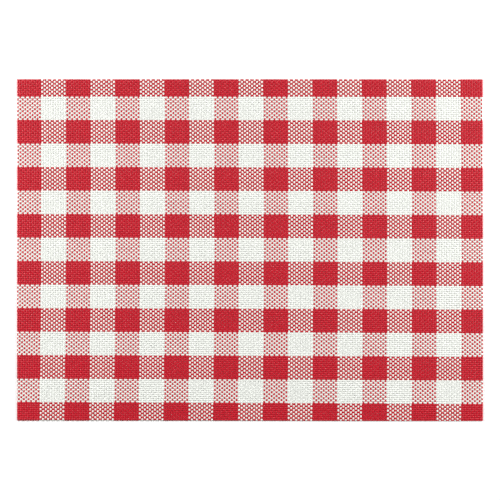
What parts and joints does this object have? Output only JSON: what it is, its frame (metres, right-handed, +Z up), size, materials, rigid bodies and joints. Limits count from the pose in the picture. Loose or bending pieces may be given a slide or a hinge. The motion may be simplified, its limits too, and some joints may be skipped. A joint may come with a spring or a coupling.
{
  "type": "woven vinyl placemat",
  "caption": "Flat rectangular table mat of plain-woven coated yarn in a red and white gingham check, with clean cut edges.",
  "frame": {"origin": "centre of the underside, on the table top that the mat lies on", "axes": "+X along the long side (the weft direction), +Y along the short side (the warp direction), +Z up out of the table"},
  "size_m": [0.45, 0.33, 0.0008],
  "materials": {
    "vinyl_red": "semi-gloss red PVC coat on polyester yarn",
    "vinyl_white": "semi-gloss white PVC coat on polyester yarn"
  },
  "bodies": {
    "root": {"warp_stripe_red_01": "vinyl_red", "warp_stripe_red_02": "vinyl_red", "warp_stripe_red_03": "vinyl_red", "warp_stripe_red_04": "vinyl_red", "warp_stripe_red_05": "vinyl_red", "warp_stripe_red_06": "vinyl_red", "warp_stripe_red_07": "vinyl_red", "warp_stripe_red_08": "vinyl_red", "warp_stripe_red_09": "vinyl_red", "warp_stripe_red_10": "vinyl_red", "warp_stripe_white_01": "vinyl_white", "warp_stripe_white_02": "vinyl_white", "warp_stripe_white_03": "vinyl_white", "warp_stripe_white_04": "vinyl_white", "warp_stripe_white_05": "vinyl_white", "warp_stripe_white_06": "vinyl_white", "warp_stripe_white_07": "vinyl_white", "warp_stripe_white_08": "vinyl_white", "warp_stripe_white_09": "vinyl_white", "weft_stripe_red_01": "vinyl_red", "weft_stripe_red_02": "vinyl_red", "weft_stripe_red_03": "vinyl_red", "weft_stripe_red_04": "vinyl_red", "weft_stripe_red_05": "vinyl_red", "weft_stripe_red_06": "vinyl_red", "weft_stripe_red_07": "vinyl_red", "weft_stripe_red_08": "vinyl_red", "weft_stripe_white_01": "vinyl_white", "weft_stripe_white_02": "vinyl_white", "weft_stripe_white_03": "vinyl_white", "weft_stripe_white_04": "vinyl_white", "weft_stripe_white_05": "vinyl_white", "weft_stripe_white_06": "vinyl_white", "weft_stripe_white_07": "vinyl_white"}
  },
  "joints": []
}
